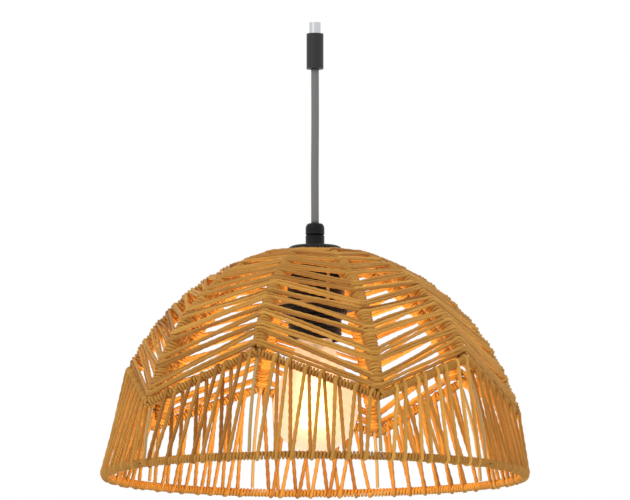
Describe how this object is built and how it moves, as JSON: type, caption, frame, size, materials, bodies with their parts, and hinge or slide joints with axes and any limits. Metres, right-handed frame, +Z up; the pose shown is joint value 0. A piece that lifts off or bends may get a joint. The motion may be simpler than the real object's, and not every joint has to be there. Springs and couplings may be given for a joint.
{
  "type": "woven pendant lamp shade",
  "caption": "Hemispherical shade of twisted paper twine woven on a wire frame, hung by a short grey cord from a black sleeve, with lampholder and bulb.",
  "frame": {"origin": "centre of the top face of the sleeve that seats under the lamp arm, where the shade hangs from", "axes": "+Z up along the hanging cord, -Y towards the side seen in the picture, +X to that view's right"},
  "size_m": [0.3, 0.3, 0.3235],
  "materials": {
    "paper_twine": "twisted kraft paper twine, matt, golden tan",
    "khaki_frame_paint": "khaki paint on steel wire, satin",
    "black_thermoplastic": "moulded, fine satin",
    "black_powder_coat": "fine-textured powder coat",
    "grey_cable": "smooth round cable sheath",
    "zinc_plated_steel": "bright zinc plate",
    "brass_strip": "pressed strip, bright",
    "nickel_plated_brass": "satin nickel plate",
    "solder": "dull solder",
    "steatite": "unglazed, cream",
    "bulb_glass": "blown glass with a light frost inside",
    "filament_phosphor": "phosphor-coated filament, glowing warm white when lit"
  },
  "bodies": {
    "arm_fitting": {"arm_nipple": "zinc_plated_steel", "arm_sleeve": "black_powder_coat", "sleeve_grub_screw": "zinc_plated_steel", "arm_cord": "grey_cable"},
    "cord": {"pendant_cord": "grey_cable"},
    "lampholder": {"cord_grip_nut": "black_thermoplastic", "cord_grip_body": "black_thermoplastic", "holder_cord": "grey_cable", "holder_cap": "black_thermoplastic", "holder_body": "black_thermoplastic", "holder_insulator": "steatite", "screw_shell": "brass_strip", "centre_contact": "brass_strip", "terminal_screw_1": "brass_strip", "terminal_screw_2": "brass_strip"},
    "shade": {"top_ring": "paper_twine", "rim_ring": "paper_twine", "zigzag_wire": "khaki_frame_paint", "fitter_ring": "khaki_frame_paint", "fitter_strut_1": "khaki_frame_paint", "fitter_strut_2": "khaki_frame_paint", "fitter_strut_3": "khaki_frame_paint", "rib_01": "khaki_frame_paint", "rib_02": "khaki_frame_paint", "rib_03": "khaki_frame_paint", "rib_04": "khaki_frame_paint", "rib_05": "khaki_frame_paint", "rib_06": "khaki_frame_paint", "rib_07": "khaki_frame_paint", "rib_08": "khaki_frame_paint", "rib_09": "khaki_frame_paint", "rib_10": "khaki_frame_paint", "upper_weave_01": "paper_twine", "upper_weave_02": "paper_twine", "upper_weave_03": "paper_twine", "upper_weave_04": "paper_twine", "upper_weave_05": "paper_twine", "upper_weave_06": "paper_twine", "upper_weave_07": "paper_twine", "upper_weave_08": "paper_twine", "upper_weave_09": "paper_twine", "upper_weave_10": "paper_twine", "lower_weave_01": "paper_twine", "lower_weave_02": "paper_twine", "lower_weave_03": "paper_twine", "lower_weave_04": "paper_twine", "lower_weave_05": "paper_twine", "lower_weave_06": "paper_twine", "lower_weave_07": "paper_twine", "lower_weave_08": "paper_twine", "lower_weave_09": "paper_twine", "lower_weave_10": "paper_twine"},
    "clamp_ring": {"shade_ring": "black_thermoplastic"},
    "bulb_contact": {"bulb_tip": "solder"},
    "bulb": {"bulb_cap": "nickel_plated_brass", "bulb_glass": "bulb_glass", "bulb_stem": "bulb_glass", "bulb_filament": "filament_phosphor"}
  },
  "joints": [
    {"name": "cord_swing", "type": "hinge", "parent": "arm_fitting", "child": "cord", "pos_m": [0, 0, -0.025], "axis": [0, 1, 0], "range_deg": [-20, 20]},
    {"name": "lampholder_tilt", "type": "hinge", "parent": "cord", "child": "lampholder", "pos_m": [0, 0, -0.135], "axis": [1, 0, 0], "range_deg": [-20, 20]},
    {"name": "shade_drop", "type": "slide", "parent": "lampholder", "child": "shade", "axis": [0, 0, -1], "range_m": [0, 0.0176]},
    {"name": "shade_ring_turn", "type": "hinge", "parent": "shade", "child": "clamp_ring", "pos_m": [0, 0, -0.1945], "axis": [0, 0, -1], "range_deg": [0, 2520]},
    {"name": "bulb_drop", "type": "slide", "parent": "lampholder", "child": "bulb_contact", "axis": [0, 0, -1], "range_m": [0, 0.0237]},
    {"name": "bulb_turn", "type": "hinge", "parent": "bulb_contact", "child": "bulb", "pos_m": [0, 0, -0.1921], "axis": [0, 0, -1], "range_deg": [0, 2340]}
  ],
  "couplings": [
    {"joint": "shade_drop", "follows": "shade_ring_turn", "m_per_rad": 0.00039789},
    {"joint": "bulb_drop", "follows": "bulb_turn", "m_per_rad": 0.0005775}
  ]
}
